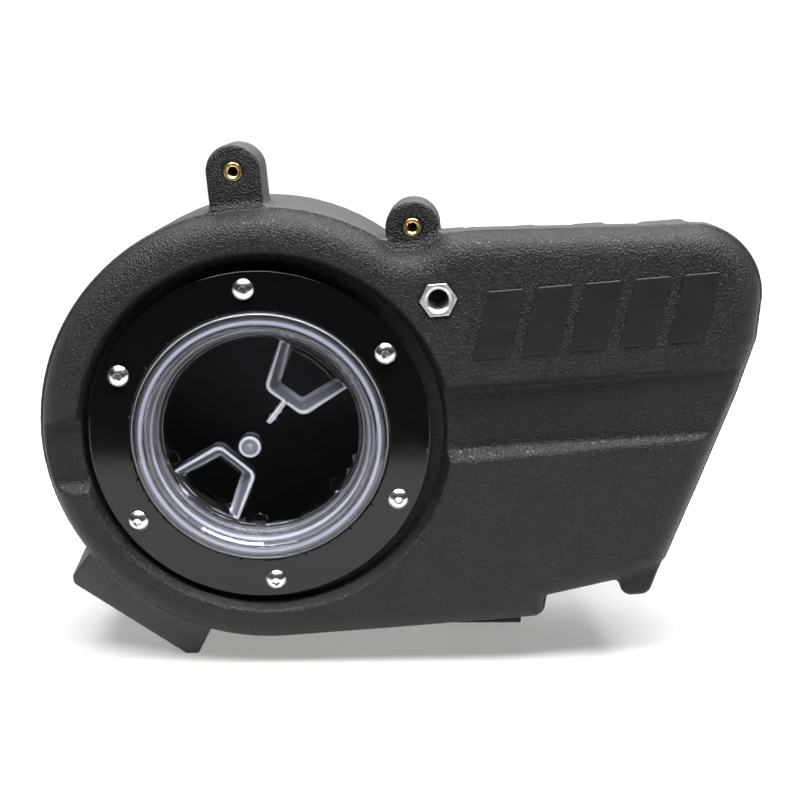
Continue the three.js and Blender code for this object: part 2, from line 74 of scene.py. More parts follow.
HEX_PORT = {"x": 104.7, "z": 71, "flats": 17.8, "bore": 5.6, "barrel": 7.6, "proud": 0.8, "head": 6,
            "length": 20}
HOSE_PORT = {"flats": 32, "bore": 11, "barrel": 14, "head": 8, "length": 22, "spacing": 40, "y": 59}
PAD = {"front": 18, "back": 100, "from": (-118, -82.9), "to": (-58.8, -132.35), "corner": (-51.5, -133)}
PAD_REACH = (-130, 8, -145), (-25, 112, -40)  # the part of the grid that the pad needs
FOOT = {"left": 96, "right": 140, "front": 60, "back": 102}
THREAD = {"lead": 12, "starts": 3, "height": 2.2, "root": 2.2, "crest": 1, "front": 12.8, "back": 20}
LID = {"front": 3.2, "flange": 71.4, "flange_in": 63.4, "flange_back": 6.7, "skirt": 64.9, "wall": 2.6,
       "floor": 17.4, "floor_radius": 55.6, "skirt_back": 21.5}
WELL = {"inner": 23.5, "outer": 54, "half_in": 11.5, "half_out": 21, "depth": 8, "wall": 2.2,
        "rim_share": 0.35, "rim_height": 1.2, "slope": 0.6, "corner": 4}
WELL_ANGLES = (42, 225)  # clockwise from the top, seen from the front
LID_BOSS = {"x": -7.5, "z": -8.5, "radius": 6.3, "length": 8}
LID_RIB = {"half": 1.4, "from": 8, "height": 2.5}
LID_MARKS = {"circle": 52.7, "radius": 3.8, "angles": (7, 77, 132, 187, 258, 313)}
BADGE = {"count": 5, "left": 121, "pitch": 26.5, "width": 19.5, "slant": 11, "low": 36, "high": 73.5}
GRAIN_BACK = 16.2  # the pebbled front half ends here
# painted highlights of the clear lid: milky bands along its radius from BAND_RADII[0] to BAND_RADII[1], in
# metres
BAND_RADII = (0.055, 0.072)
PAINTED_HIGHLIGHT_BANDS = [(0, 0.0), (0.12, 0.0), (0.17, 0.3), (0.22, 0.05), (0.29, 0.1), (0.32, 0.7), (0.35, 0.7),
               (0.39, 0.05), (0.46, 0.2), (0.54, 0.02), (0.61, 0.05), (0.645, 0.9), (0.70, 0.9),
               (0.745, 0.12), (0.9, 0.0), (0.95, 0.4), (1, 0.4)]
# painted highlight lines of a milky wall, brightest along both edges, from its top edge to its foot
WALL_HIGHLIGHT_LINES = [(0.0, 0.25), (0.08, 0.95), (0.2, 0.9), (0.32, 0.22), (0.6, 0.3), (0.75, 0.75), (0.88, 0.8),
              (1.0, 0.12)]
FLOOR_IOR = 1.03  # the lid's flat floor mirrors almost nothing
CLEARANCE = 0.3

# ---------- from the drawing to the frame ----------
ring_low, ring_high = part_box("access_ring")
tank_low, tank_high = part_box("tank_shell")
centre = (ring_low + ring_high) / 2
drawing_to_frame = (
    Matrix.Translation((centre.x, tank_low.y, centre.z))
    @ Matrix.Rotation(TILT, 4, "Y")
    @ Matrix.Scale(0.001, 4)
)


# ---------- materials ----------
class Shader:
    """A Principled material and the nodes that feed it."""

    def __init__(self, name, **sockets):
        self.material = bpy.data.materials.new(name)
        self.material.use_nodes = True
        self.tree = self.material.node_tree
        self.principled = self.tree.nodes["Principled BSDF"]
        for socket, value in sockets.items():
            self.principled.inputs[socket.replace("_", " ")].default_value = value

    def node(self, kind, links=(), **values):
        made = self.tree.nodes.new(kind)
        for key, value in values.items():
            if hasattr(made, key):
                setattr(made, key, value)
            else:
                made.inputs[key.replace("_", " ")].default_value = value
        for socket, source in dict(links).items():
            self.tree.links.new(source, made.inputs[socket])
        return made

    def link(self, source, socket):
        self.tree.links.new(source, self.principled.inputs[socket])

    def place(self):
        return self.node("ShaderNodeTexCoord").outputs["Object"]

    def noise(self, scale, detail=2.0, roughness=0.5):
        return self.node("ShaderNodeTexNoise", {"Vector": self.place()}, Scale=scale, Detail=detail,
                         Roughness=roughness).outputs["Fac"]

    def ramp(self, source, stops):
        made = self.node("ShaderNodeValToRGB", {"Fac": source})
        elements = made.color_ramp.elements
        while len(elements) < len(stops):
            elements.new(0.5)
        for element, (position, colour) in zip(elements, stops):
            element.position = position
            element.color = (*colour, 1) if hasattr(colour, "__len__") else (colour, colour, colour, 1)
        return made.outputs["Color"]

    def bump(self, height, distance, strength=1.0, normal=None):
        links = {"Height": height}
        if normal is not None:
            links["Normal"] = normal
        return self.node("ShaderNodeBump", links, Distance=distance, Strength=strength).outputs["Normal"]


def mix(shader, factor, a, b):
    """a where factor is 0, b where it is 1, for plain numbers or colours as sockets."""
    made = shader.node("ShaderNodeMix", data_type="RGBA")
    shader.tree.links.new(factor, made.inputs["Factor"])
    for socket, source in ((made.inputs[6], a), (made.inputs[7], b)):
        if hasattr(source, "is_linked"):
            shader.tree.links.new(source, socket)
        else:
            colour = source if hasattr(source, "__len__") else (source, source, source)
            socket.default_value = (*colour, 1)
    return made.outputs[2]


def tank_plastic():
    """Black moulded plastic: pebbled where the attribute grain is 1, smooth and greyer where it is 0."""
    s = Shader("tank_plastic", Specular_IOR_Level=0.36)
    grain = s.node("ShaderNodeAttribute", attribute_name="grain").outputs["Fac"]
    pebbles = s.noise(900, detail=2.5, roughness=0.5)
    patches = s.noise(45, detail=4)
    scuffs = s.noise(160, detail=6, roughness=0.7)
    front = s.ramp(patches, [(0.3, 0.004), (0.7, 0.0065)])
    rear = s.ramp(scuffs, [(0.3, 0.040), (0.7, 0.055)])
    s.link(mix(s, grain, rear, front), "Base Color")
    rear_rough = s.ramp(scuffs, [(0.2, 0.50), (0.8, 0.60)])
    front_rough = s.ramp(pebbles, [(0.35, 0.52), (0.65, 0.36)])
    s.link(mix(s, grain, rear_rough, front_rough), "Roughness")
    rear_height = s.ramp(scuffs, [(0.3, 0.46), (0.7, 0.54)])
    front_height = s.ramp(pebbles, [(0.38, 0.0), (0.62, 1.0)])
    s.link(s.bump(mix(s, grain, rear_height, front_height), 0.00035, 1.0), "Normal")
    return s.material


def ring_plastic():
    s = Shader("ring_plastic", Base_Color=(0.003, 0.003, 0.0035, 1), Specular_IOR_Level=0.42)
    smears = s.noise(55, detail=6, roughness=0.65)
    s.link(s.ramp(smears, [(0.35, 0.07), (0.75, 0.16)]), "Roughness")
    s.link(s.bump(s.noise(1500, detail=2), 0.00001, 0.3), "Normal")
    return s.material


def metal(name, colour, roughness, grain=900):
    s = Shader(name, Metallic=1.0)
    stains = s.noise(grain / 3, detail=5, roughness=0.6)
    dark = [c * 0.72 for c in colour]
    s.link(s.ramp(stains, [(0.3, dark), (0.6, colour)]), "Base Color")
    s.link(s.ramp(stains, [(0.3, roughness * 0.8), (0.7, roughness * 1.3)]), "Roughness")
    s.link(s.bump(s.noise(grain, detail=3), 0.00002, 0.4), "Normal")
    return s.material


def rubber():
    s = Shader("rubber", Specular_IOR_Level=0.4)
    dust = s.noise(300, detail=5)
    s.link(s.ramp(dust, [(0.3, 0.010), (0.7, 0.020)]), "Base Color")
    s.link(s.ramp(dust, [(0.3, 0.65), (0.7, 0.8)]), "Roughness")
    s.link(s.bump(dust, 0.00005, 0.5), "Normal")
    return s.material


def badge_plastic():
    s = Shader("tank_plastic_smooth", Specular_IOR_Level=0.4)
    patches = s.noise(90, detail=5)
    s.link(s.ramp(patches, [(0.3, 0.005), (0.7, 0.007)]), "Base Color")
    s.link(s.ramp(patches, [(0.3, 0.50), (0.7, 0.60)]), "Roughness")
    s.link(s.bump(s.noise(700, detail=2), 0.00008, 0.3), "Normal")
    return s.material


def clear_plastic(name="clear_plastic", ior=1.49):
    """Clear moulding with painted highlights in its flange and dish: milky bands, as rings about the lid's
    axis.
    """
    s = Shader(name, IOR=ior)
    lid_low, lid_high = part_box("lid")
    axis = (lid_low + lid_high) / 2
    from_axis = s.node("ShaderNodeVectorMath", {0: s.place()}, operation="SUBTRACT")
    from_axis.inputs[1].default_value = axis
    across = s.node("ShaderNodeVectorMath", {0: from_axis.outputs["Vector"]}, operation="MULTIPLY")
    across.inputs[1].default_value = (1, 0, 1)
    radius = s.node("ShaderNodeVectorMath", {0: across.outputs["Vector"]}, operation="LENGTH")
    share = s.node("ShaderNodeMapRange", {"Value": radius.outputs["Value"]})
    share.inputs["From Min"].default_value = BAND_RADII[0]
    share.inputs["From Max"].default_value = BAND_RADII[1]
    streaks = s.noise(60, detail=4)
    # painted highlights: where the bands are, the plastic turns milky and bluish-white instead of clear
    bands = s.ramp(share.outputs["Result"], PAINTED_HIGHLIGHT_BANDS)
    band_highlight = mix(s, streaks, s.ramp(bands, [(0, 0.0), (1, 0.75)]), bands)
    s.link(mix(s, band_highlight, (0.90, 0.92, 1.0), (0.38, 0.40, 0.54)), "Base Color")
    s.link(s.ramp(band_highlight, [(0, 1.0), (1, 0.25)]), "Transmission Weight")
    s.link(s.ramp(streaks, [(0.35, 0.01), (0.8, 0.05)]), "Roughness")
    s.link(s.bump(s.noise(90, detail=3), 0.00001, 0.3), "Normal")
    return s.material


def frosted_plastic_with_painted_lines():
    """The same plastic where its walls are seen edge on: milky, with painted highlights along both edges."""
    s = Shader("clear_plastic_painted_edges", Transmission_Weight=0.25, IOR=1.49)
    across = s.node("ShaderNodeAttribute", attribute_name="wall").outputs["Fac"]
    haze = s.noise(220, detail=5, roughness=0.7)
    # painted highlights: bright lines along both edges of each wall, and on the rib and the boss
    edge_highlights = s.ramp(across, WALL_HIGHLIGHT_LINES)
    soft = mix(s, haze, s.ramp(edge_highlights, [(0, 0.0), (1, 0.6)]), edge_highlights)
    tones = [(0.0, (0.03, 0.03, 0.04)), (0.45, (0.36, 0.38, 0.46)), (0.9, (0.93, 0.94, 1.0))]
    s.link(s.ramp(soft, tones), "Base Color")
    s.link(s.ramp(haze, [(0.3, 0.12), (0.7, 0.25)]), "Roughness")
    s.link(s.bump(haze, 0.0001, 0.5), "Normal")
    return s.material


MATERIALS = {
    "tank_plastic": tank_plastic(),
    "ring_plastic": ring_plastic(),
    "rubber": rubber(),
    "stainless": metal("stainless", (0.80, 0.79, 0.77), 0.22),
    "brass": metal("brass", (0.95, 0.74, 0.36), 0.30),
    "aluminium": metal("aluminium", (0.90, 0.90, 0.90), 0.42, 2200),
    "clear_plastic": clear_plastic(),
}


# ---------- the tank skin, as distances on a grid ----------
def smooth_min(a, b, blend):
    if blend <= 0:
        return np.minimum(a, b)
    share = np.clip(0.5 + 0.5 * (b - a) / blend, 0, 1)
    return b + (a - b) * share - blend * share * (1 - share)


def smooth_max(a, b, blend):
    return -smooth_min(-a, -b, blend)


def extruded(flat, y, front, back, soft=0.0):
    """Solid between two depths, from the flat distance to its outline, with rounded end edges."""
    side = flat + soft
    ends = np.maximum(front - y, y - back) + soft
    outside = np.hypot(np.maximum(side, 0), np.maximum(ends, 0))
    return np.minimum(np.maximum(side, ends), 0) + outside - soft


def polygon_distance(x, z, corners):
    """Signed distance in the drawing plane to a closed outline, negative inside."""
    shape = np.broadcast(x, z).shape
    best = np.full(shape, np.inf, np.float32)
    inside = np.zeros(shape, bool)
    for (ax, az), (bx, bz) in zip(corners, corners[1:] + corners[:1]):
        ex, ez = bx - ax, bz - az
        t = np.clip(((x - ax) * ex + (z - az) * ez) / (ex * ex + ez * ez), 0, 1)
        best = np.minimum(best, (x - ax - t * ex) ** 2 + (z - az - t * ez) ** 2)
        if az != bz:
            inside ^= ((az > z) != (bz > z)) & (x < ex * (z - az) / ez + ax)
    return np.where(inside, -1, 1) * np.sqrt(best)


def rounded(corners):
    """A closed outline from (x, z, radius) corners, each rounded by an arc of that radius."""
    points = []
    for i, (x, z, radius) in enumerate(corners):
        here = Vector((x, z))
        to_last = (Vector(corners[i - 1][:2]) - here).normalized()
        to_next = (Vector(corners[(i + 1) % len(corners)][:2]) - here).normalized()
        half = to_last.angle(to_next) / 2
        if radius <= 0:
            points.append((x, z))
            continue
        middle = here + (to_last + to_next).normalized() * radius / math.sin(half)
        start = here + to_last * radius / math.tan(half)
        end = here + to_next * radius / math.tan(half)
        a = math.atan2(start.y - middle.y, start.x - middle.x)
        turn = math.atan2(end.y - middle.y, end.x - middle.x) - a
        turn = (turn + math.pi) % (2 * math.pi) - math.pi
        steps = max(3, int(abs(turn) / math.radians(6)))
        points += [(middle.x + radius * math.cos(a + turn * k / steps),
                    middle.y + radius * math.sin(a + turn * k / steps)) for k in range(steps + 1)]
    return points


def arc(x, z, radius, start, end, step=4):
    """Points on an arc, between two angles in degrees."""
    count = max(2, round(abs(end - start) / step))
    angles = [math.radians(start + (end - start) * i / count) for i in range(count + 1)]
    return [(x + radius * math.cos(a), z + radius * math.sin(a)) for a in angles]


class Field:
    """Signed distances on a grid over the drawing, negative in the material."""

    def __init__(self, low, high, step):
        self.low = np.array(low, np.float32)
        self.step = step
        self.axes = [np.arange(a, b, step, dtype=np.float32) for a, b in zip(low, high)]
        self.values = np.full([len(axis) for axis in self.axes], 40, np.float32)

    def window(self, low, high):
        cuts = tuple(slice(*np.searchsorted(axis, (a, b))) for axis, a, b in zip(self.axes, low, high))
        x, y, z = (axis[cut] for axis, cut in zip(self.axes, cuts))
        return cuts, x[:, None, None], y[None, :, None], z[None, None, :]

    def everywhere(self):
        return self.window([axis[0] for axis in self.axes], [axis[-1] + 1 for axis in self.axes])

    def add(self, shape, low, high, blend=0.0):
        cuts, x, y, z = self.window(low, high)
        self.values[cuts] = smooth_min(self.values[cuts], shape(x, y, z), blend)

    def cut(self, shape, low, high, blend=0.0):
        cuts, x, y, z = self.window(low, high)
        self.values[cuts] = smooth_max(self.values[cuts], -shape(x, y, z), blend)

    def surface(self, adaptivity):
        """Corners in the drawing, and the faces, of the surface where the distance is 0."""
        band = 3 * self.step
        grid = openvdb.FloatGrid(band)
        grid.copyFromArray(np.clip(self.values, -band, band))
        points, triangles, quads = grid.convertToPolygons(isovalue=0.0, adaptivity=adaptivity)
        return points * self.step + self.low, triangles, quads

    def slope(self, points):
        """Unit normals of the surface, from the distances on both sides of each point."""
        normals = np.empty_like(points)
        for axis in range(3):
            reach = np.zeros(3, np.float32)
            reach[axis] = 0.7 * self.step
            normals[:, axis] = self.sample(points + reach) - self.sample(points - reach)
        return normals / np.maximum(np.linalg.norm(normals, axis=1, keepdims=True), 1e-9)

    def sample(self, points):
        place = (points - self.low) / self.step
        limit = np.array(self.values.shape) - 2
        base = np.clip(np.floor(place).astype(int), 0, limit)
        share = np.clip(place - base, 0, 1)
        total = np.zeros(len(points), np.float32)
        for corner in np.ndindex(2, 2, 2):
            weight = np.prod(np.where(corner, share, 1 - share), axis=1)
            total += weight * self.values[tuple((base + corner).T)]
        return total


def tank_outline():
    """Widest outline of the tank: bottom, step, slanted right side, corner, top, round the left."""
    step = rounded([(60, -123, 0), (149.5, -123, 5), (152, -110.8, 4), (203, -103.2, 8), (220.6, -96, 8),
                    (241.6, -51, 90), (264.6, 0, 90), (276.7, 31, 0)])
    corner = arc(240.36, 57, 40, -5, 87)
    top = rounded([(238, 99, 0), (127.5, 104.4, 60), (112, 104.0, 12), (96, 95.4, 12), (80, 99, 0)])
    return step + corner + top[1:-1] + arc(BODY["x"], BODY["z"], BODY["radius"], 50, 270, 3)


def pad_outline():
    face = [(*PAD["from"], 1.5), (*PAD["to"], 1.5), (*PAD["corner"], 1.2)]
    return rounded([(-95, -50, 0), (-106, -64.4, 4), (-118.3, -78, 2), *face, (-43, -119, 0), (-36, -104, 0)])


def table_line(x):
    return PAD["corner"][1] + (x - PAD["corner"][0]) * math.tan(TILT)


def arm_top(x, y):
    """Height of the arm's top: it falls to the right, and falls off towards the back."""
    level = ARM_TOP["z"] - (x - ARM_TOP["x"]) * ARM_TOP["fall"] + FLARE["out"]
    return level - (y - FLARE["y"]) * ARM_TOP["back_fall"]


def above_arm(x, y, z):
    """Distance above the arm's top, only right of the round part."""
    return (z - arm_top(x, y)) / math.hypot(1, ARM_TOP["back_fall"]) - 3 * np.maximum(92 - x, 0)


def port_place(side):
    """Middle of a hose port on the pad's slanted face, the way into the pad and the way along its face."""
    start, end = Vector(PAD["from"]), Vector(PAD["to"])
    along = (end - start).normalized()
    middle = (start + end) / 2 + along * side * HOSE_PORT["spacing"] / 2
    return middle, Vector((-along.y, along.x)), along


def ring_angles():
    return [i * math.pi / 3 for i in range(6)]


CHANNELS = [{"from": -150, "to": -60, "depth": (6, 6), "half": (22.5, 22.5)},
            {"from": 60, "to": 290, "depth": (8.3, 1.8), "half": (22.6, 20.2)}]
CHANNEL_SLOPE = 0.85


def channel(ends, grow=0.0):
    """Channel pressed across the front, with sloping walls, which may get shallower along its length."""
    def shape(x, y, z):
        share = np.clip((x - ends["from"]) / (ends["to"] - ends["from"]), 0, 1)
        depth = ends["depth"][0] + (ends["depth"][1] - ends["depth"][0]) * share + grow
        half = ends["half"][0] + (ends["half"][1] - ends["half"][0]) * share + grow
        wall = (np.abs(z) - half + CHANNEL_SLOPE * y) / math.hypot(1, CHANNEL_SLOPE)
        within = np.maximum(ends["from"] - x, x - ends["to"])
        return np.maximum(smooth_max(wall, y - depth, 1.2), within)
    return shape


def round_hole(x0, z0, radius, front, back):
    return lambda x, y, z: np.maximum(np.hypot(x - x0, z - z0) - radius, np.maximum(front - y, y - back))


def hexagon(x, z, x0, z0, flats):
    """Flat distance to a hexagon with a corner to the right."""
    across = np.abs(z - z0)
    slanted = np.abs(x - x0) * math.cos(math.pi / 6) + across * math.sin(math.pi / 6)
    return np.maximum(across, slanted) - flats / 2


def make_tank():
    field = Field((-136, -5, -154), (292, 121, 170), 1.0)
    cuts, x, y, z = field.everywhere()
    flat = polygon_distance(x[:, 0], z[:, 0], tank_outline())[:, None, :].astype(np.float32)
    lean = (BACK_EDGE["inset"] + FLARE["out"]) / (BACK_EDGE["y"] - FLARE["y"])
    draw_in = (y - FLARE["y"]) * lean - FLARE["out"]
    drafted = (flat + draw_in) / math.hypot(1, lean)
    front_half = extruded(flat, y, 0, 38, EDGE_RADIUS)
    rear_half = extruded(drafted, y, FLARE["y"] - 2, DEPTH, 1.2)
    rear_half = np.maximum(rear_half, extruded(drafted, y, FLARE["y"] - 40, DEPTH, 9))
    rear_half = smooth_max(rear_half, above_arm(x, y, z), 2)
    field.values[cuts] = smooth_min(front_half, rear_half, 0.6)

    for ear in EARS:
        def ear_shape(x, y, z, ear=ear):
            x = x - EAR_LEAN["x"] * (y - EAR["front"])
            z = z - EAR_LEAN["z"] * (y - EAR["front"])
            rise = z - np.clip(z, ear["z"] - EAR["reach"], ear["z"])
            return extruded(np.hypot(x - ear["x"], rise) - ear["half"], y, EAR["front"], EAR["back"], 2)
        field.add(ear_shape, (ear["x"] - 34, 6, ear["z"] - 60), (ear["x"] + 34, 62, ear["z"] + 20), 3.5)

    for i in range(TOP_RIBS["count"]):
        start = TOP_RIBS["first"] + TOP_RIBS["pitch"] * i
        end = start + (TOP_RIBS["last_width"] if i == TOP_RIBS["count"] - 1 else TOP_RIBS["width"])
        high = arm_top((start + end) / 2, TOP_RIBS["back"]) + TOP_RIBS["proud"]
        low = high - TOP_RIBS["root"]
        left, right = start + TOP_RIBS["left"], end - TOP_RIBS["right"]
        rib = rounded([(start, low, 0), (end, low, 0), (right, high, 4), (left, high, 4)])

        def rib_shape(x, y, z, rib=rib):
            return extruded(polygon_distance(x, z, rib), y, TOP_RIBS["front"], TOP_RIBS["back"], 1.5)
        field.add(rib_shape, (start - 12, 10, high - 28), (end + 12, TOP_RIBS["back"] + 14, high + 8), 3)

    def pad(x, y, z, soft=1.5):
        return extruded(polygon_distance(x, z, pad_outline()), y, PAD["front"], PAD["back"], soft)
    field.add(pad, *PAD_REACH, 3)
    tip = [(196.2, -113.6, 6.5), (211.5, -113.6, 6.5)]
    toe = rounded([(193, -92, 0), *tip, (219, -96, 4), (214, -88, 0)])
    field.add(lambda x, y, z: extruded(polygon_distance(x, z, toe), y, 6, 40, 3),
              (180, -2, -125), (230, 52, -78), 3)
    foot = [(FOOT["left"], table_line(FOOT["left"])), (FOOT["right"], table_line(FOOT["right"])),
            (FOOT["right"], -108), (FOOT["left"], -108)]
    field.add(lambda x, y, z: extruded(polygon_distance(x, z, foot), y, FOOT["front"], FOOT["back"],
                                       1.5),
              (85, 50, -154), (150, 112, -98), 2)

    def seat(x, y, z):
        wall = RECESS["rim"] - (RECESS["rim"] - RECESS["floor"]) * y / RECESS["y"]
        return np.maximum(np.hypot(x - BODY["x"], z - BODY["z"]) - wall, y - RECESS["y"])
    field.cut(seat, (-110, -5, -112), (118, 16, 116), 1.6)
    for ends in CHANNELS:
        field.cut(channel(ends), (ends["from"], -5, -40), (ends["to"], 20, 40), 1.0)

    hollow_sides = extruded(drafted + WALL, y, 5, DEPTH - WALL, 6)
    hollow = smooth_max(hollow_sides, extruded(flat + WALL, y, WALL, DEPTH + 9, 9), 1.0)
    hollow = np.maximum(hollow, above_arm(x, y, z) + WALL)
    keep = [round_hole(BODY["x"], BODY["z"], BODY["radius"] + 4, -9, SEAT_WALL_BACK)(x, y, z)]
    keep += [channel(ends, WALL)(x, y, z) for ends in CHANNELS]
    for solid in keep:
        hollow = np.maximum(hollow, -solid)
    inside = Field((-136, -5, -154), (292, 121, 170), 1.0)
    inside.values[cuts] = hollow
    for angle in ring_angles():
        bx, bz = BOLT_CIRCLE * math.sin(angle), BOLT_CIRCLE * math.cos(angle)
        inside.cut(round_hole(bx, bz, 9, 8, 28), (bx - 14, 4, bz - 14), (bx + 14, 34, bz + 14), 3)
    px, pz = HEX_PORT["x"], HEX_PORT["z"]
    inside.cut(round_hole(px, pz, 17, 0, 23), (px - 24, 0, pz - 24), (px + 24, 30, pz + 24), 3)
    inside.cut(lambda x, y, z: pad(x, y, z, 0.0), *PAD_REACH, 2)
    for side in (-1, 1):
        middle, inward, along = port_place(side)
        def block(x, y, z, middle=middle, inward=inward, along=along):
            depth = (x - middle.x) * inward.x + (z - middle.y) * inward.y
            across = (x - middle.x) * along.x + (z - middle.y) * along.y
            box = np.maximum(np.abs(across) - 19, np.abs(y - HOSE_PORT["y"]) - 25)
            return np.maximum(box, np.maximum(-depth, depth - 28))
        inside.cut(block, (middle.x - 10, 30, middle.y - 30), (middle.x + 50, 90, middle.y + 50), 2)
    field.values = smooth_max(field.values, -inside.values, 0.0)

    reach = MOUTH_RADIUS + 3
    field.cut(round_hole(0, 0, MOUTH_RADIUS, 0, 22), (-reach, -5, -reach), (reach, 26, reach), 0.8)
    for angle in ring_angles():
        bx, bz = BOLT_CIRCLE * math.sin(angle), BOLT_CIRCLE * math.cos(angle)
        field.cut(round_hole(bx, bz, INSERT["radius"], 4, INSERT["back"]),
                  (bx - 8, 2, bz - 8), (bx + 8, 28, bz + 8))
    for ear in EARS:
        radius, back = EAR["insert"] + CLEARANCE, EAR["insert_back"] + CLEARANCE
        field.cut(round_hole(ear["x"], ear["z"], radius, 10, back),
                  (ear["x"] - 9, 8, ear["z"] - 9), (ear["x"] + 9, 34, ear["z"] + 9), 0.8)
    field.cut(round_hole(px, pz, HEX_PORT["barrel"] + CLEARANCE, -3, 27),
              (px - 14, -5, pz - 14), (px + 14, 30, pz + 14))
    field.cut(lambda x, y, z: extruded(hexagon(x, z, px, pz, HEX_PORT["flats"] + 2 * CLEARANCE), y, -4,
                                       HEX_PORT["head"] + CLEARANCE),
              (px - 14, -5, pz - 14), (px + 14, 10, pz + 14), 0.6)
    for side in (-1, 1):
        middle, inward, along = port_place(side)
        def port_hole(x, y, z, middle=middle, inward=inward, along=along):
            depth = (x - middle.x) * inward.x + (z - middle.y) * inward.y
            across = (x - middle.x) * along.x + (z - middle.y) * along.y
            down = y - HOSE_PORT["y"]
            bore = np.hypot(across, down) - HOSE_PORT["barrel"] - CLEARANCE
            bore = np.maximum(bore, np.abs(depth - 27) - 33)
            slanted = np.abs(down) * math.cos(math.pi / 6) + np.abs(across) * math.sin(math.pi / 6)
            head = np.maximum(np.abs(across), slanted) - HOSE_PORT["flats"] / 2 - CLEARANCE
            head = np.maximum(head, np.abs(depth) - HOSE_PORT["head"] - CLEARANCE)
            return np.minimum(bore, head)
        field.cut(port_hole, (middle.x - 30, 34, middle.y - 30), (middle.x + 55, 84, middle.y + 60))
    return field


def mesh_from(name, points, normals, triangles, quads):
    """Smooth-shaded mesh in the frame, from corners and their normals in the drawing."""
    mesh = bpy.data.meshes.new(name)
    mesh.from_pydata(points, [], [*triangles.tolist(), *quads.tolist()])
    mesh.polygons.foreach_set("use_smooth", np.ones(len(mesh.polygons), bool))
    mesh.transform(drawing_to_frame)
    turned = normals @ np.array(drawing_to_frame.to_3x3().normalized().transposed())
    mesh.normals_split_custom_set_from_vertices(turned)
    return mesh


def slope_of(shape, x, y, z, reach=0.04):
    parts = [shape(x + reach, y, z) - shape(x - reach, y, z),
             shape(x, y + reach, z) - shape(x, y - reach, z),
             shape(x, y, z + reach) - shape(x, y, z - reach)]
    normals = np.stack(parts, axis=1)
    return normals / np.maximum(np.linalg.norm(normals, axis=1, keepdims=True), 1e-9)


def mesh_of(name, shape, low, high, step, adaptivity=0.01):
    """Mesh of a shape given as a distance function, with its corners drawn onto the exact surface."""
    field = Field(low, high, step)
    cuts, x, y, z = field.everywhere()
    field.values[cuts] = shape(x, y, z)
    points, triangles, quads = field.surface(adaptivity)
    for _ in range(3):
        x, y, z = points.T.astype(np.float64)
        off = np.clip(shape(x, y, z), -0.4 * step, 0.4 * step)
        points = points - (off[:, None] * slope_of(shape, x, y, z)).astype(np.float32)
    x, y, z = points.T.astype(np.float64)
    return mesh_from(name, points, slope_of(shape, x, y, z), triangles, quads)


def add_piece(mesh, slot, body="tank", replaces=(), material=None):
    """A piece from a mesh, riding on its body, with its slot's material unless another one is given."""
    piece = bpy.data.objects.new(mesh.name, mesh)
    bpy.context.scene.collection.objects.link(piece)
    mesh.materials.append(material or MATERIALS[slot])
    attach(piece, body)
    if replaces:
        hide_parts(*replaces)


# ---------- pieces ----------
def make_tank_skin():
    """The tank, with the attribute grain at 1 on its pebbled front half and 0 on its smoother back."""
    field = make_tank()
    points, triangles, quads = field.surface(0.02)
    mesh = mesh_from("tank_skin", points, field.slope(points), triangles, quads)
    grain = np.clip((GRAIN_BACK - points[:, 1]) / 1.5, 0, 1)
    on_ear = np.zeros(len(points), bool)
    for ear in EARS:
        on_ear |= (np.abs(points[:, 0] - ear["x"]) < ear["half"] - 0.5) & (points[:, 2] > ear["z"] - 20)
    grain = np.where(on_ear & (points[:, 1] < EAR["front"] + 0.8), 1, grain)
    mesh.attributes.new("grain", "FLOAT", "POINT").data.foreach_set("value", grain.astype(np.float32))
    add_piece(mesh, "tank_plastic", replaces=["tank_shell"])


def thread(radius, turn, y, base, height, phase):
    """Ridges of a three-start thread on a cylinder, outwards for a height above 0, inwards below."""
    pitch = THREAD["lead"] / THREAD["starts"]
    along = y - THREAD["front"] - THREAD["lead"] * turn + phase * pitch
    off = np.abs((along + pitch / 2) % pitch - pitch / 2)
    rise = (radius - base) / height
    half = (THREAD["root"] + (THREAD["crest"] - THREAD["root"]) * np.clip(rise, 0, 1)) / 2
    ridge = np.maximum(off - half, (rise - 1) * abs(height))
    ridge = np.maximum(ridge, (-0.6 - rise) * abs(height))
    return np.maximum(ridge, np.maximum(THREAD["front"] - 0.6 - y, y - THREAD["back"] - 0.6))


def ring_shape(x, y, z):
    radius = np.hypot(x, z)
    turn = np.arctan2(x, z) / (2 * math.pi)
    profile = [(RING["bore"], RING["seat_y"], 0.5), (RING["seat"], RING["seat_y"], 0.2),
               (RING["seat"], RING["front"], 0.5), (RING["outer"], RING["front"], RING["bevel"]),
               (RING["outer"], RING["back"], 0.3), (RING["collar"], RING["back"], 0),
               (RING["collar"], RING["collar_back"], 0.5), (RING["bore"], RING["collar_back"], 0.5)]
    body = polygon_distance(radius, y, rounded(profile))
    body = smooth_min(body, thread(radius, turn, y, RING["bore"], -THREAD["height"], 0), 0.3)
    sixth = np.round(turn * 6) * math.pi / 3
    off_bolt = np.hypot(x - BOLT_CIRCLE * np.sin(sixth), z - BOLT_CIRCLE * np.cos(sixth))
    return smooth_max(body, SCREW["shank"] + CLEARANCE - off_bolt, 0.3)


def make_ring():
    reach = RING["outer"] + 1.5
    mesh = mesh_of("clamp_ring", ring_shape, (-reach, 3, -reach), (reach, 26, reach), 0.55)
    add_piece(mesh, "ring_plastic", replaces=["access_ring"])


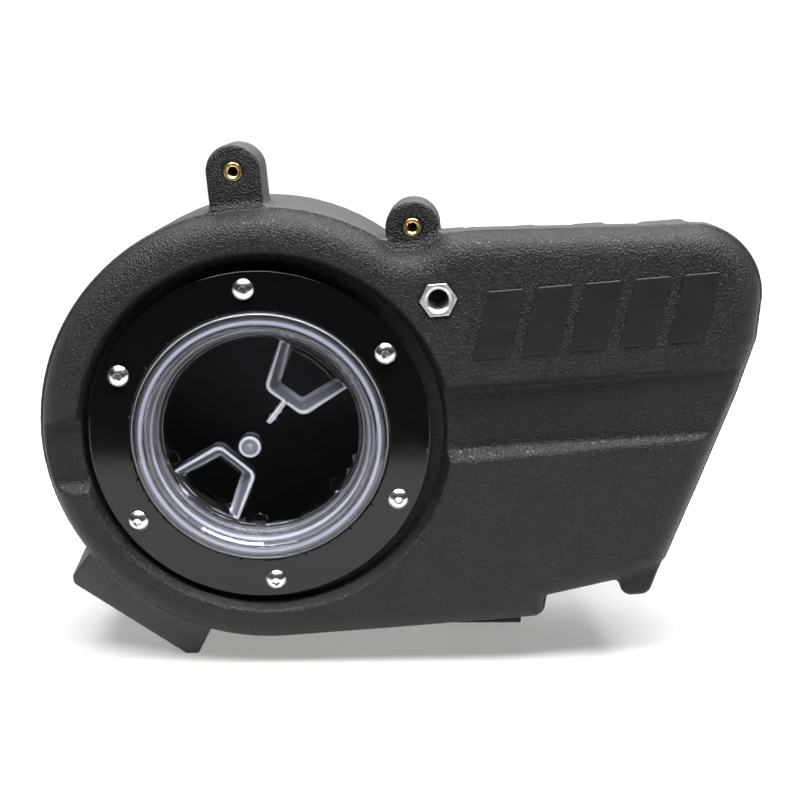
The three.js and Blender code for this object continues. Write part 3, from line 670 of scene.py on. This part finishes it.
def screw_shape(sx, sz, turned):
    """Button-head screw with a hexagon socket."""
    under = RING["front"] - CLEARANCE
    top = under - SCREW["height"]
    dome_radius = 7.6

    def shape(x, y, z):
        radius = np.hypot(x - sx, z - sz)
        dome = np.hypot(radius, y - top - dome_radius) - dome_radius
        head = smooth_max(smooth_max(dome, y - under, 0.3), radius - SCREW["head"], 0.5)
        shank = extruded(radius - SCREW["shank"], y, under - 1, under + SCREW["length"], 0.4)
        shank = shank + 0.25 * np.abs((y % 1.0) - 0.5) * (y > under + 4)
        hx = (x - sx) * math.cos(turned) - (z - sz) * math.sin(turned)
        hz = (x - sx) * math.sin(turned) + (z - sz) * math.cos(turned)
        socket = np.maximum(hexagon(hx, hz, 0, 0, 2 * SCREW["socket"]), y - top - SCREW["socket_depth"])
        lead_in = (radius - SCREW["socket"] * 1.25 + (y - top) * 1.2) / 1.5
        return smooth_max(smooth_min(head, shank, 0.3), -np.minimum(socket, lead_in), 0.25)
    return shape


def make_screws():
    reach = SCREW["head"] + 1
    under = RING["front"] - CLEARANCE
    for i, angle in enumerate(ring_angles(), 1):
        sx, sz = BOLT_CIRCLE * math.sin(angle), BOLT_CIRCLE * math.cos(angle)
        low = (sx - reach, under - SCREW["height"] - 1, sz - reach)
        high = (sx + reach, under + SCREW["length"] + 1, sz + reach)
        mesh = mesh_of(f"button_screw_{i}", screw_shape(sx, sz, 0.4 * i), low, high, 0.25)
        add_piece(mesh, "stainless", replaces=[f"ring_screw_{i}"])


def make_ear_bushes():
    for i, ear in enumerate(EARS, 1):
        def shape(x, y, z, ear=ear):
            radius = np.hypot(x - ear["x"], z - ear["z"])
            turn = np.arctan2(x - ear["x"], z - ear["z"])
            knurl = 0.14 * np.abs(np.sin(18 * turn)) * (y > EAR["front"] + 2)
            body = extruded(radius - EAR["insert"] + knurl, y, EAR["front"], EAR["insert_back"], 0.45)
            groove = 0.28 * np.abs(((y + turn / (2 * math.pi)) % 1.0) - 0.5)
            hole = radius - EAR["bore"] - groove
            mouth = (radius - EAR["bore"] - 0.9 + (y - EAR["front"])) / 1.4
            return smooth_max(body, -np.minimum(hole, mouth), 0.2)
        reach = EAR["insert"] + 1
        mesh = mesh_of(f"ear_bush_{i}", shape, (ear["x"] - reach, EAR["front"] - 1, ear["z"] - reach),
                       (ear["x"] + reach, EAR["insert_back"] + 1, ear["z"] + reach), 0.25)
        add_piece(mesh, "brass", replaces=[f"ear_insert_{i}"])


def make_hex_port():
    px, pz = HEX_PORT["x"], HEX_PORT["z"]

    def shape(x, y, z):
        radius = np.hypot(x - px, z - pz)
        turn = np.arctan2(x - px, z - pz) / (2 * math.pi)
        flat = hexagon(x, z, px, pz, HEX_PORT["flats"])
        head = extruded(flat, y, -HEX_PORT["proud"], HEX_PORT["head"], 0.35)
        chamfer = (radius - HEX_PORT["flats"] / 2 - 0.9 - 1.7 * (y + HEX_PORT["proud"])) / 2
        barrel = extruded(radius - HEX_PORT["barrel"], y, 3, HEX_PORT["length"], 0.5)
        hole = radius - HEX_PORT["bore"] - 0.5 * np.abs(((y / 1.4 + turn) % 1.0) - 0.5)
        mouth = (radius - HEX_PORT["bore"] - 1.6 + (y + HEX_PORT["proud"]) * 0.9) / 1.3
        return smooth_max(np.minimum(np.maximum(head, chamfer), barrel), -np.minimum(hole, mouth), 0.25)
    low, high = (px - 12, -2.5, pz - 12), (px + 12, HEX_PORT["length"] + 1, pz + 12)
    mesh = mesh_of("hex_bush", shape, low, high, 0.3)
    add_piece(mesh, "aluminium", replaces=["hex_port_insert"])


def make_hose_ports():
    for i, side in enumerate((-1, 1), 1):
        middle, inward, along = port_place(side)

        def shape(x, y, z, middle=middle, inward=inward, along=along):
            depth = (x - middle.x) * inward.x + (z - middle.y) * inward.y
            across = (x - middle.x) * along.x + (z - middle.y) * along.y
            down = y - HOSE_PORT["y"]
            radius = np.hypot(across, down)
            turn = np.arctan2(across, down) / (2 * math.pi)
            flat = hexagon(down, across, 0, 0, HOSE_PORT["flats"])
            head = extruded(flat, depth, 0.2, HOSE_PORT["head"], 0.5)
            barrel = extruded(radius - HOSE_PORT["barrel"], depth, 4, HOSE_PORT["length"], 0.5)
            hole = radius - HOSE_PORT["bore"] - 0.6 * np.abs(((depth / 1.8 + turn) % 1.0) - 0.5)
            mouth = (radius - HOSE_PORT["bore"] - 1.4 + depth) / 1.4
            return smooth_max(np.minimum(head, barrel), -np.minimum(hole, mouth), 0.3)
        mesh = mesh_of(f"hose_bush_{i}", shape, (middle.x - 20, HOSE_PORT["y"] - 20, middle.y - 20),
                       (middle.x + 32, HOSE_PORT["y"] + 20, middle.y + 36), 0.5)
        add_piece(mesh, "aluminium", replaces=[f"hose_port_insert_{i}"])


def well_outline(grow):
    """One finger well, in a drawing in which the lid's rim is up."""
    inner, outer = WELL["inner"] - grow, WELL["outer"] + WELL["rim_share"] * grow
    half_in, half_out = WELL["half_in"] + grow, WELL["half_out"] + grow
    rim = math.sqrt(outer ** 2 - half_out ** 2)
    start = math.degrees(math.atan2(rim, half_out))
    corner = WELL["corner"] + grow
    inner_side = [(half_in, inner, corner), (-half_in, inner, corner)]
    sides = rounded([(half_out, rim, 0), *inner_side, (-half_out, rim, 0)])
    return sides + arc(0, 0, outer, 180 - start, start, 8)[1:-1]


def in_well_frame(x, z, degrees):
    a = math.radians(degrees)
    return x * math.cos(a) - z * math.sin(a), x * math.sin(a) + z * math.cos(a)


def lid_shape(x, y, z):
    """The clear lid: flange, dish, threaded skirt, two finger wells with raised rims, a boss and a rib."""
    radius = np.hypot(x, z)
    turn = np.arctan2(x, z) / (2 * math.pi)
    skirt_in = LID["skirt"] - LID["wall"]
    dish = [(0, LID["floor"], 0), (LID["floor_radius"], LID["floor"], 1.2),
            (LID["flange_in"] - 1.6, LID["front"] + 2.2, 1.0), (LID["flange_in"], LID["front"], 0.7),
            (LID["flange"], LID["front"], 1.2), (LID["flange"], LID["flange_back"], 0.6),
            (LID["skirt"], LID["flange_back"], 0.4), (LID["skirt"], LID["skirt_back"], 0.6),
            (skirt_in, LID["skirt_back"], 0.6), (skirt_in, LID["floor"] + LID["wall"], 1.5),
            (0, LID["floor"] + LID["wall"], 0)]
    body = polygon_distance(radius, y, rounded(dish))
    body = smooth_min(body, thread(radius, turn, y, LID["skirt"], THREAD["height"], 0.5), 0.3)
    well_back = LID["floor"] + WELL["depth"]
    rim_front = LID["floor"] - WELL["rim_height"]
    holes = []
    for degrees in WELL_ANGLES:
        across, out = in_well_frame(x, z, degrees)
        cup = polygon_distance(across, out, well_outline(WELL["wall"]))
        body = smooth_min(body, extruded(cup, y, rim_front, well_back + WELL["wall"], 0.9), 0.5)
        hole = polygon_distance(across, out, well_outline(0))
        sloping = (hole + WELL["slope"] * (y - LID["floor"])) / math.hypot(1, WELL["slope"])
        holes.append(smooth_max(sloping, np.maximum(y - well_back, LID["floor"] - 9 - y), 1.5))
    for hole in holes:
        body = smooth_max(body, -hole, 0.5)
    across, out = in_well_frame(x, z, WELL_ANGLES[0])
    rib_end = WELL["inner"] - WELL["wall"] / 2
    rib = np.hypot(across, out - np.clip(out, LID_RIB["from"], rib_end)) - LID_RIB["half"]
    rib_body = extruded(rib, y, LID["floor"] - LID_RIB["height"], LID["floor"] + 1, 0.9)
    body = smooth_min(body, rib_body, 0.5)
    boss = np.hypot(x - LID_BOSS["x"], z - LID_BOSS["z"])
    boss_back = LID["floor"] + 1 + LID_BOSS["length"]
    boss_body = extruded(boss - LID_BOSS["radius"], y, LID["floor"] - 0.8, boss_back, 0.7)
    body = smooth_min(body, boss_body, 0.4)
    body = smooth_max(body, -extruded(boss - 3.4, y, LID["floor"] + 3, 40, 0.8), 0.5)
    for degrees in LID_MARKS["angles"]:
        a = math.radians(degrees)
        circle = np.hypot(x - LID_MARKS["circle"] * math.sin(a), z - LID_MARKS["circle"] * math.cos(a))
        mark = np.abs(circle - LID_MARKS["radius"]) - 0.3
        body = smooth_max(body, -np.maximum(mark, y - LID["floor"] - 0.35), 0.2)
    return body


def in_drawing(points):
    """Points of the frame in the drawing, as x, y and z."""
    to_drawing = np.array(drawing_to_frame.inverted())
    return (points.reshape(-1, 3) @ to_drawing[:3, :3].T + to_drawing[:3, 3]).T


def well_walls(x, z):
    """For each well, the distances to the outline of its wall's top and to that of its foot."""
    for degrees in WELL_ANGLES:
        across, out = in_well_frame(x, z, degrees)
        top = polygon_distance(across, out, well_outline(WELL["wall"]))
        foot = polygon_distance(across, out, well_outline(-WELL["slope"] * WELL["depth"]))
        yield top, foot, out


def on_rib(x, z, end):
    """Which points are on the rib, up to a distance from the axis, and their distances from its middle."""
    across, out = in_well_frame(x, z, WELL_ANGLES[0])
    off = np.abs(across)
    return (off < LID_RIB["half"] + 0.1) & (out > LID_RIB["from"] - 1.5) & (out < end), off


def across_walls(corners):
    """For each corner in the frame, how far across a well wall, the rib or the boss it lies, 0 to 1."""
    x, _, z = in_drawing(corners)
    share = np.zeros(len(x))
    for top, foot, _ in well_walls(x, z):
        part = np.clip(-top / np.maximum(foot - top, 0.1), 0, 1)
        share = np.where((top < 0.1) & (foot > -0.5), part, share)
    rib, off = on_rib(x, z, WELL["inner"] - WELL["wall"])
    share = np.where(rib, 0.3 * (1 - off / LID_RIB["half"]), share)
    boss = np.hypot(x - LID_BOSS["x"], z - LID_BOSS["z"]) / LID_BOSS["radius"]
    share = np.where(boss < 1, 1 - boss, share)
    return np.clip(share, 0, 1).astype(np.float32)


def polygon_values(mesh, key):
    values = np.empty(len(mesh.polygons) * 3, np.float32)
    mesh.polygons.foreach_get(key, values)
    return values


def make_lid():
    """The lid, with one material for its walls seen edge on, milky with painted highlight lines, and one for
    its flat floor.
    """
    reach = LID["flange"] + 1.5
    mesh = mesh_of("clear_lid", lid_shape, (-reach, 1.5, -reach), (reach, 30, reach), 0.5, 0.004)
    x, y, z = in_drawing(polygon_values(mesh, "center"))
    painted_line_faces = np.zeros(len(x), bool)
    for top, foot, out in well_walls(x, z):
        painted_line_faces |= (top < 0.1) & (foot > 0.3) & (out < 50)
    painted_line_faces |= np.hypot(x - LID_BOSS["x"], z - LID_BOSS["z"]) < LID_BOSS["radius"] + 0.1
    painted_line_faces |= on_rib(x, z, WELL["inner"])[0]
    painted_line_faces &= y < LID["floor"] + WELL["depth"] - 0.4
    facing_front = np.abs(polygon_values(mesh, "normal").reshape(-1, 3)[:, 1]) > 0.97
    flat = facing_front & (np.hypot(x, z) < LID["floor_radius"] - 0.5) & ~painted_line_faces
    corners = np.empty(len(mesh.vertices) * 3, np.float32)
    mesh.vertices.foreach_get("co", corners)
    # where across each wall a corner lies, which places the painted highlight lines
    wall = mesh.attributes.new("wall", "FLOAT", "POINT")
    wall.data.foreach_set("value", across_walls(corners))
    add_piece(mesh, "clear_plastic", "lid_disc", ["lid"])
    mesh.materials.append(frosted_plastic_with_painted_lines())
    mesh.materials.append(clear_plastic("clear_plastic_floor", FLOOR_IOR))
    indices = np.where(painted_line_faces, 1, np.where(flat, 2, 0)).astype(np.int32)
    mesh.polygons.foreach_set("material_index", indices)


def make_badge():
    """Five plain slanted bars, slightly raised on the arm."""
    def shape(x, y, z):
        nearest = 9
        for i in range(BADGE["count"]):
            left = BADGE["left"] + BADGE["pitch"] * i
            low, high, width, slant = BADGE["low"], BADGE["high"], BADGE["width"], BADGE["slant"]
            bar = rounded([(left, low, 1.5), (left + width, low, 1.5), (left + width + slant, high, 1.5),
                           (left + slant, high, 1.5)])
            nearest = np.minimum(nearest, extruded(polygon_distance(x, z, bar), y, -0.7, 1.2, 0.5))
        return nearest
    mesh = mesh_of("badge_bars", shape, (118, -2.2, 30), (262, 2, 80), 0.5)
    add_piece(mesh, "tank_plastic", material=badge_plastic())


make_tank_skin()
make_ring()
make_screws()
make_ear_bushes()
make_hex_port()
make_hose_ports()
make_lid()
make_badge()

# ---------- CAD nodes that stay ----------
for name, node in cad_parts.items():
    if not node.hide_render:
        node.data.materials.clear()
        node.data.materials.append(MATERIALS["brass" if name.startswith("ring_insert") else "rubber"])
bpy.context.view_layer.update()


# ---------- floor, light and camera ----------
def plane(name, size, place, material):
    bpy.ops.mesh.primitive_plane_add(size=1, location=place)
    made = bpy.context.object
    made.name = name
    made.scale = (*size, 1)
    made.data.materials.append(material)


def area_light(name, size, place, target, power):
    lamp = bpy.data.lights.new(name, "AREA")
    lamp.shape = "RECTANGLE"
    lamp.size, lamp.size_y = size
    lamp.energy = power
    made = bpy.data.objects.new(name, lamp)
    made.location = place
    made.rotation_euler = (Vector(target) - Vector(place)).to_track_quat("-Z", "Y").to_euler()
    bpy.context.scene.collection.objects.link(made)
    return made


floor_shader = Shader("floor_white", Base_Color=(0.42, 0.42, 0.42, 1), Roughness=0.5,
                      Specular_IOR_Level=0.2, Emission_Color=(1.0, 0.975, 0.94, 1))
along_floor = floor_shader.node("ShaderNodeSeparateXYZ", {"Vector": floor_shader.place()})
glow = floor_shader.node("ShaderNodeMapRange", {"Value": along_floor.outputs["Y"]})  # more light far behind
for socket, value in (("From Min", -0.15), ("From Max", 0.2), ("To Min", 0.34), ("To Max", 0.8)):
    glow.inputs[socket].default_value = value
floor_shader.link(glow.outputs["Result"], "Emission Strength")
plane("floor", (4, 1.9), (0, 0.53, 0), floor_shader.material)

middle = Vector((0, 0, 0.14))
area_light("top_back", (2.0, 1.0), (0.0, 0.9, 1.5), middle, 28)
area_light("top", (1.8, 0.6), (0.1, -0.36, 1.45), middle, 80)
area_light("left", (0.5, 1.2), (-1.5, 0.1, 0.7), middle, 2)
area_light("right", (0.5, 1.2), (1.5, 0.1, 0.7), middle, 2)

world = bpy.data.worlds.new("studio")
world.use_nodes = True
nodes, links = world.node_tree.nodes, world.node_tree.links
background = nodes["Background"]
background.inputs["Color"].default_value = (1, 1, 1, 1)
direction = nodes.new("ShaderNodeSeparateXYZ")
links.new(nodes.new("ShaderNodeTexCoord").outputs["Generated"], direction.inputs["Vector"])
sweep = nodes.new("ShaderNodeMapRange")  # white sweep behind, dark room in front
sweep.interpolation_type = "SMOOTHSTEP"
for socket, value in (("From Min", 0.2), ("From Max", 0.85), ("To Min", 0.04), ("To Max", 0.22)):
    sweep.inputs[socket].default_value = value
links.new(direction.outputs["Y"], sweep.inputs["Value"])
seen = nodes.new("ShaderNodeMath")
seen.operation = "MAXIMUM"
links.new(nodes.new("ShaderNodeLightPath").outputs["Is Camera Ray"], seen.inputs[0])
links.new(sweep.outputs["Result"], seen.inputs[1])
links.new(seen.outputs["Value"], background.inputs["Strength"])
bpy.context.scene.world = world
bpy.context.scene.view_settings.view_transform = "Standard"

azimuth, elevation = math.radians(-0.461), math.radians(16.728)
level = math.cos(elevation)
back = Vector((math.sin(azimuth) * level, -math.cos(azimuth) * level, math.sin(elevation)))
right = Vector((math.cos(azimuth), math.sin(azimuth), 0))
up = back.cross(right)
ring_face = Vector((centre.x, ring_low.y, centre.z))
camera_data = bpy.data.cameras.new("camera")
camera_data.sensor_width = 36
camera_data.lens = 76.5
camera = bpy.data.objects.new("camera", camera_data)
camera.matrix_world = Matrix.Translation(ring_face + Vector((0.07047, -0.89776, 0.29176))) @ Matrix(
    (right, up, back)).transposed().to_4x4()
bpy.context.scene.collection.objects.link(camera)
bpy.context.scene.camera = camera
